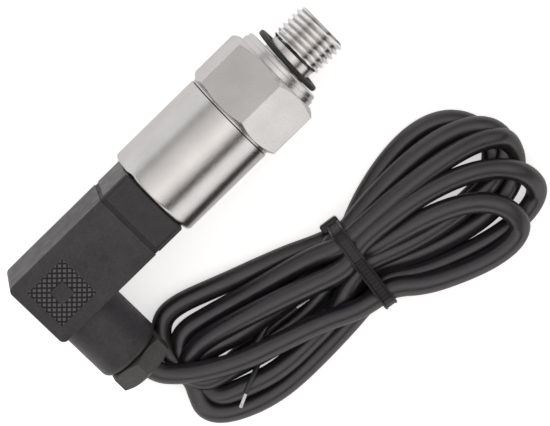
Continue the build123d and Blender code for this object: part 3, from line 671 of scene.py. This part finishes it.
# Threaded stud of the process fitting, the neck that it joins, and the mouth of the port in it
STUD_RADIUS = 7.0
STUD_ROOT = 6.1
STUD_FRONT = 12.9
NECK_END = 3.4
NECK_RADIUS = 6.05
NECK_JOIN = 0.02
PORT_RADIUS = 2.5
PORT_CHAMFER = 0.4

# The thread: what the flat crest and the flank take of half a pitch, and the cones at its two ends
THREAD_PITCH = 1.5
THREAD_CREST = 0.14
THREAD_FLANK = 0.68
THREAD_TIP_INSET = 0.15
THREAD_TIP_SLOPE = 1.1
THREAD_END_SLOPE = 1.3
THREAD_STEPS = 96
THREAD_ROWS_PER_PITCH = 12

# Where the fitting has a finish of its own: from just under the thread's roots, with painted shade and
# highlight, and in the joint's groove, painted dark as shade
THREAD_UNDER = 0.1
SHADED_GROOVE_FRONT = -17.34
SHADED_GROOVE_RADIUS = 11.8
FITTING_SMOOTH = 32.0


def thread_radius(x, turn):
    """Radius of the threaded stud at a place along it and a turn round it."""
    phase = (x / THREAD_PITCH - turn / (2 * math.pi)) % 1.0
    from_crest = abs(phase - 0.5) * 2
    share = min(1.0, max(0.0, (from_crest - THREAD_CREST) / THREAD_FLANK))
    radius = STUD_RADIUS - (STUD_RADIUS - STUD_ROOT) * share
    front_cone = STUD_ROOT - THREAD_TIP_INSET + (STUD_FRONT - x) * THREAD_TIP_SLOPE
    rear_cone = NECK_RADIUS + (x - NECK_END) * THREAD_END_SLOPE
    return min(radius, front_cone, rear_cone)


def stud_ring(data, x, radius_at):
    """Ring of corners round the sensor's axis, with the radius that each turn has."""
    ring = []
    for step in range(THREAD_STEPS):
        turn = 2 * math.pi * step / THREAD_STEPS
        radius = radius_at(x, turn)
        ring.append(data.verts.new(Vector((x, radius * math.cos(turn), radius * math.sin(turn))) * MM))
    return ring


def make_fitting():
    """The CAD fitting with its plain stud taken off and the threaded one put on."""
    data = bmesh.new()
    data.from_mesh(frame["nodes"]["process_fitting"].data)
    limit = (NECK_END - NECK_JOIN) * MM
    stud_faces = [face for face in data.faces if all(vert.co.x > limit for vert in face.verts)]
    bmesh.ops.delete(data, geom=stud_faces, context="FACES")
    total = round((STUD_FRONT - NECK_END) / THREAD_PITCH * THREAD_ROWS_PER_PITCH)
    rows = [stud_ring(data, NECK_END + (STUD_FRONT - NECK_END) * row / total, thread_radius)
            for row in range(total + 1)]
    rows.append(stud_ring(data, STUD_FRONT, lambda x, turn: PORT_RADIUS + PORT_CHAMFER))
    rows.append(stud_ring(data, STUD_FRONT - PORT_CHAMFER, lambda x, turn: PORT_RADIUS))
    for near, far in zip(rows, rows[1:]):
        for step in range(THREAD_STEPS):
            following = (step + 1) % THREAD_STEPS
            data.faces.new((near[step], near[following], far[following], far[step]))
    piece = mesh_object("threaded_fitting", data, FITTING_SMOOTH)
    finishes = ["fitting_steel", "thread_painted_light", "groove_painted_shade"]
    for finish in finishes:
        piece.data.materials.append(FINISHES[finish])
    for face in piece.data.polygons:
        x = face.center.x / MM
        radius = math.hypot(face.center.y, face.center.z) / MM
        # Faces of the thread take its painted shade in the roots and painted highlight on the crests
        if x > NECK_END and radius > STUD_ROOT - THREAD_UNDER:
            face.material_index = finishes.index("thread_painted_light")
        # Faces down in the joint's groove get painted shade
        elif x < SHADED_GROOVE_FRONT and radius < SHADED_GROOVE_RADIUS:
            face.material_index = finishes.index("groove_painted_shade")
    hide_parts("process_fitting")
    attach(piece, BODY)


# Knurled ground of the badge pocket, whose walls it stays clear of by a small gap
BADGE_SIDE = 11.2
BADGE_FACE = 9.15
BADGE_DEPTH = 0.3
BADGE_GAP = 0.01
KNURL_PITCH = 1.15
KNURL_HEIGHT = 0.27
KNURL_LIFT = 0.005
KNURL_TURN = math.radians(45.0)
KNURL_SMOOTH = 5.0


def make_badge_ground():
    """Small pyramids in slanted rows over the ground of the badge pocket, cut off at its walls."""
    data = bmesh.new()
    half = BADGE_SIDE / 2 - BADGE_GAP
    count = math.ceil(BADGE_SIDE / KNURL_PITCH) + 1
    base = Vector((0, 0, BADGE_FACE - BADGE_DEPTH + KNURL_LIFT))
    across = Vector((math.cos(KNURL_TURN), math.sin(KNURL_TURN), 0)) * KNURL_PITCH
    along = Vector((-math.sin(KNURL_TURN), math.cos(KNURL_TURN), 0)) * KNURL_PITCH
    for i in range(-count, count):
        for j in range(-count, count):
            corner = across * i + along * j
            centre = corner + (across + along) / 2
            if abs(centre.x) > half + KNURL_PITCH or abs(centre.y) > half + KNURL_PITCH:
                continue
            foot = [data.verts.new(place + base)
                    for place in (corner, corner + across, corner + across + along, corner + along)]
            tip = data.verts.new(centre + base + Vector((0, 0, KNURL_HEIGHT)))
            for near, far in zip(foot, foot[1:] + foot[:1]):
                data.faces.new((near, far, tip))
    for way in ((1, 0, 0), (-1, 0, 0), (0, 1, 0), (0, -1, 0)):
        normal = Vector(way)
        bmesh.ops.bisect_plane(data, geom=data.verts[:] + data.edges[:] + data.faces[:],
                               plane_co=normal * half, plane_no=normal, clear_outer=True)
    for vert in data.verts:
        vert.co = Vector((vert.co.x + GLAND_X, vert.co.y, vert.co.z)) * MM
    ground = mesh_piece("badge_ground", data, "knurl_painted_shade", KNURL_SMOOTH)
    ground.rotation_euler.x = REST_ROLL
    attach(ground, BODY)


# Camera, at the photograph's angle and nearness, in metres apart from its sensor in millimetres
CAMERA_PLACE = Vector((0.006154, 0.010314, 0.600862))
CAMERA_RIGHT = Vector((0.71544, -0.69867, 0.00151))
CAMERA_UP = Vector((0.69671, 0.71327, -0.07645))
CAMERA_BACK = Vector((0.05234, 0.05575, 0.99707))
SENSOR_WIDTH = 36.0
NEAREST_SEEN = 0.01

# Floor in metres, with the share of its added brightness that reflections get
FLOOR_HALF = 1.5
FLOOR_COLOUR = (0.82, 0.82, 0.82, 1.0)
FLOOR_IN_GLOSS = 0.17

# Lamps in metres: name, place, aim, width and height
LAMPS = [
    ("window", (-0.3, 0.5, 0.55), (0.0, 0.0, 0.0), 0.5, 0.4),
    ("fill", (0.35, -0.55, 0.5), (-0.02, -0.03, 0.0), 0.5, 0.5),
]

# Surroundings as an angle round the sensor's axis with a brightness and a share of warmth.
# The angle is in degrees from straight up, and more than nothing on the side away from the cable.
SURROUNDINGS = [
    (-180, 0.85, 0.0), (-95, 1.1, 0.6), (-80, 1.14, 0.9), (-61, 1.02, 0.9), (-56, 0.4, 0.9),
    (-50, 0.03, 0.9), (-43, 0.06, 1.0), (-29, 0.9, 1.0), (-11, 1.28, 1.0), (12, 0.95, 1.0),
    (34, 0.74, 1.0), (50, 0.44, 1.0), (56, 0.42, 0.6), (61, 0.86, 0.0), (95, 0.88, 0.0), (180, 0.85, 0.0),
]
WARM = (1.0, 0.955, 0.93)

# The surroundings grow dimmer towards the threaded end, between these two shares of the way there
DIMMED = (0.45, 0.45, 0.46, 1.0)
DIMMED_FROM = 0.3
DIMMED_TO = 0.9


def floor_finish():
    """White paper that keeps shadows, made brighter for the camera, through glass and in reflections."""
    material = bpy.data.materials.new("floor_white")
    material.use_nodes = True
    tree = material.node_tree
    tree.nodes.clear()
    output = tree.nodes.new("ShaderNodeOutputMaterial")
    paper = tree.nodes.new("ShaderNodeBsdfDiffuse")
    paper.inputs["Color"].default_value = FLOOR_COLOUR
    glow = tree.nodes.new("ShaderNodeEmission")
    glow.inputs["Strength"].default_value = bpy.context.scene.transmitter_stage.floor_lift
    lit_paper = tree.nodes.new("ShaderNodeAddShader")
    choice = tree.nodes.new("ShaderNodeMixShader")
    ray = tree.nodes.new("ShaderNodeLightPath").outputs
    seen = maths(tree, "MAXIMUM", ray["Is Camera Ray"], ray["Is Transmission Ray"])
    mirrored = maths(tree, "MULTIPLY", ray["Is Glossy Ray"], FLOOR_IN_GLOSS)
    tree.links.new(paper.outputs["BSDF"], lit_paper.inputs[0])
    tree.links.new(glow.outputs["Emission"], lit_paper.inputs[1])
    tree.links.new(maths(tree, "MAXIMUM", seen, mirrored), choice.inputs["Fac"])
    tree.links.new(paper.outputs["BSDF"], choice.inputs[1])
    tree.links.new(lit_paper.outputs["Shader"], choice.inputs[2])
    tree.links.new(choice.outputs["Shader"], output.inputs["Surface"])
    return material


def make_floor():
    """Large white floor under the object."""
    data = bmesh.new()
    bmesh.ops.create_grid(data, x_segments=2, y_segments=2, size=FLOOR_HALF)
    for vert in data.verts:
        vert.co.z = FLOOR_HEIGHT
    floor = mesh_object("floor", data)
    floor.data.materials.append(floor_finish())


def add_light(name, place, aim, width, height, power):
    """Large soft lamp that faces a point and isn't seen in reflections."""
    data = bpy.data.lights.new(name, "AREA")
    data.shape = "RECTANGLE"
    data.size = width
    data.size_y = height
    data.energy = power
    light = add_object(name, data)
    back = Vector(place) - Vector(aim)
    light.rotation_euler = back.to_track_quat("Z", "Y").to_euler()
    light.location = place
    light.visible_glossy = False


def make_world():
    """Pale surroundings in bands, like white cards with dark gaps between them, for the steel to reflect."""
    world = bpy.data.worlds.new("studio")
    world.use_nodes = True
    tree = world.node_tree
    place = tree.nodes.new("ShaderNodeTexCoord")
    split = tree.nodes.new("ShaderNodeSeparateXYZ")
    tree.links.new(place.outputs["Generated"], split.inputs["Vector"])
    angle = maths(tree, "ARCTAN2", split.outputs["Y"], split.outputs["Z"])
    ramp = tree.nodes.new("ShaderNodeValToRGB")
    round_share = spread(tree, angle, low=0.0, high=1.0, start=-math.pi, end=math.pi)
    tree.links.new(round_share, ramp.inputs["Fac"])
    elements = ramp.color_ramp.elements
    for index, (degrees, level, warmth) in enumerate(SURROUNDINGS):
        spot = (degrees + 180) / 360
        element = elements[index] if index < 2 else elements.new(spot)
        element.position = spot
        element.color = (*(level * (1 - warmth * (1 - tint)) for tint in WARM), 1.0)
    dimmer = tree.nodes.new("ShaderNodeMix")
    dimmer.data_type = "RGBA"
    dimmer.blend_type = "MULTIPLY"
    first, second = [socket for socket in dimmer.inputs if socket.type == "RGBA"]
    result = next(socket for socket in dimmer.outputs if socket.type == "RGBA")
    dimming = spread(tree, split.outputs["X"], low=0.0, high=1.0, start=DIMMED_FROM, end=DIMMED_TO)
    tree.links.new(dimming, dimmer.inputs["Factor"])
    tree.links.new(ramp.outputs["Color"], first)
    second.default_value = DIMMED
    background = tree.nodes["Background"]
    tree.links.new(result, background.inputs["Color"])
    background.inputs["Strength"].default_value = bpy.context.scene.transmitter_stage.surroundings
    bpy.context.scene.world = world


def make_camera():
    """Camera that sees the object as the photograph does."""
    data = bpy.data.cameras.new("camera")
    data.sensor_width = SENSOR_WIDTH
    data.lens = bpy.context.scene.transmitter_stage.lens
    data.clip_start = NEAREST_SEEN
    camera = add_object("camera", data)
    turn = Matrix((CAMERA_RIGHT, CAMERA_UP, CAMERA_BACK)).transposed().to_4x4()
    camera.matrix_world = Matrix.Translation(CAMERA_PLACE) @ turn
    bpy.context.scene.camera = camera


def make_stage():
    """Surroundings, floor and lamps."""
    scene = bpy.context.scene
    scene.view_settings.view_transform = "Standard"
    make_world()
    make_floor()
    powers = (scene.transmitter_stage.window_power, scene.transmitter_stage.fill_power)
    for lamp, power in zip(LAMPS, powers):
        add_light(*lamp, power)


# Settings that a user would change
class CableSettings(bpy.types.PropertyGroup):
    diameter: bpy.props.FloatProperty(
        name="Diameter", description="Outer diameter of the cable's jacket", default=0.005, min=0.001,
        unit="LENGTH")
    colour: bpy.props.FloatVectorProperty(
        name="Jacket colour", description="Colour of the cable's jacket", default=(0.0152, 0.0136, 0.0168),
        size=3, min=0.0, max=1.0, subtype="COLOR")


class PlasticSettings(bpy.types.PropertyGroup):
    colour: bpy.props.FloatVectorProperty(
        name="Housing colour", description="Colour of the plug and of the base",
        default=(0.0285, 0.0266, 0.0305), size=3, min=0.0, max=1.0, subtype="COLOR")


class SteelSettings(bpy.types.PropertyGroup):
    dark: bpy.props.FloatVectorProperty(
        name="Darker steel", description="Colour of the steel in its darker clouds",
        default=(0.61, 0.605, 0.6), size=3, min=0.0, max=1.0, subtype="COLOR")
    light: bpy.props.FloatVectorProperty(
        name="Lighter steel", description="Colour of the steel in its lighter clouds",
        default=(0.7, 0.695, 0.69), size=3, min=0.0, max=1.0, subtype="COLOR")


class StageSettings(bpy.types.PropertyGroup):
    window_power: bpy.props.FloatProperty(
        name="Window light", description="Power of the large light from the upper left", default=1.4, min=0.0,
        unit="POWER")
    fill_power: bpy.props.FloatProperty(
        name="Fill light", description="Power of the weak light from the other side", default=0.8, min=0.0,
        unit="POWER")
    surroundings: bpy.props.FloatProperty(
        name="Surroundings", description="Strength of the pale surroundings", default=1.0, min=0.0,
        subtype="FACTOR")
    floor_lift: bpy.props.FloatProperty(
        name="Floor white", description="Brightness added to the floor as the camera sees it", default=0.56,
        min=0.0, subtype="FACTOR")
    lens: bpy.props.FloatProperty(
        name="Lens", description="Focal length of the camera", default=169.8, min=1.0, unit="CAMERA")


SETTINGS = {
    "transmitter_cable": CableSettings,
    "transmitter_plastic": PlasticSettings,
    "transmitter_steel": SteelSettings,
    "transmitter_stage": StageSettings,
}


class CameraOperator(bpy.types.Operator):
    """Place the camera where the photograph was taken from."""
    bl_idname = "transmitter.camera"
    bl_label = "Camera"

    def execute(self, context):
        make_camera()
        return {"FINISHED"}


class FinishOperator(bpy.types.Operator):
    """Make the finishes and give each piece of the frame its own."""
    bl_idname = "transmitter.finishes"
    bl_label = "Finishes"

    def execute(self, context):
        make_finishes()
        finish_cad_nodes()
        return {"FINISHED"}


class CableOperator(bpy.types.Operator):
    """Lay the cable, bundled as one smooth line, with its two stripped cores."""
    bl_idname = "transmitter.cable"
    bl_label = "Cable and cores"

    def execute(self, context):
        cable = make_cable()
        long_core = make_core("core_long_cut", "core_long", LONG_CORE)
        short_core = make_core("core_short_cut", "core_short", SHORT_CORE)
        long_strands = make_strands("strands_long", LONG_CORE)
        short_strands = make_strands("strands_short", SHORT_CORE)
        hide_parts("core_tips")
        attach(long_strands, BODY)
        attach(short_strands, BODY)
        line = curve_line(cable)
        return {"FINISHED"}


class TieOperator(bpy.types.Operator):
    """Close the cable tie round the bundle."""
    bl_idname = "transmitter.tie"
    bl_label = "Cable tie"

    def execute(self, context):
        make_tie()
        return {"FINISHED"}


class FittingOperator(bpy.types.Operator):
    """Cut the thread on the process fitting."""
    bl_idname = "transmitter.fitting"
    bl_label = "Threaded fitting"

    def execute(self, context):
        make_fitting()
        return {"FINISHED"}


class BadgeOperator(bpy.types.Operator):
    """Knurl the ground of the badge pocket."""
    bl_idname = "transmitter.badge"
    bl_label = "Badge ground"

    def execute(self, context):
        make_badge_ground()
        return {"FINISHED"}


class StageOperator(bpy.types.Operator):
    """Make the floor, the lights and the surroundings."""
    bl_idname = "transmitter.stage"
    bl_label = "Stage"

    def execute(self, context):
        make_stage()
        return {"FINISHED"}


OPERATORS = [CameraOperator, FinishOperator, CableOperator, TieOperator, FittingOperator, BadgeOperator,
             StageOperator]


class TransmitterPanel(bpy.types.Panel):
    """Settings and steps of the transmitter."""
    bl_idname = "VIEW3D_PT_transmitter"
    bl_label = "Pressure Transmitter"
    bl_space_type = "VIEW_3D"
    bl_region_type = "UI"
    bl_category = "Transmitter"

    def draw(self, context):
        for name in SETTINGS:
            box = self.layout.box()
            group = getattr(context.scene, name)
            for key in group.__annotations__:
                box.prop(group, key)
        for operator in OPERATORS:
            self.layout.operator(operator.bl_idname)


CLASSES = [*SETTINGS.values(), *OPERATORS, TransmitterPanel]


def register():
    for item in CLASSES:
        bpy.utils.register_class(item)
    for name, group in SETTINGS.items():
        setattr(bpy.types.Scene, name, bpy.props.PointerProperty(type=group))


def unregister():
    for name in SETTINGS:
        delattr(bpy.types.Scene, name)
    for item in reversed(CLASSES):
        bpy.utils.unregister_class(item)


def main():
    register()
    bpy.ops.transmitter.camera()
    bpy.ops.transmitter.finishes()
    bpy.ops.transmitter.cable()
    bpy.ops.transmitter.tie()
    bpy.ops.transmitter.fitting()
    bpy.ops.transmitter.badge()
    bpy.ops.transmitter.stage()


if __name__ == "__main__":
    main()
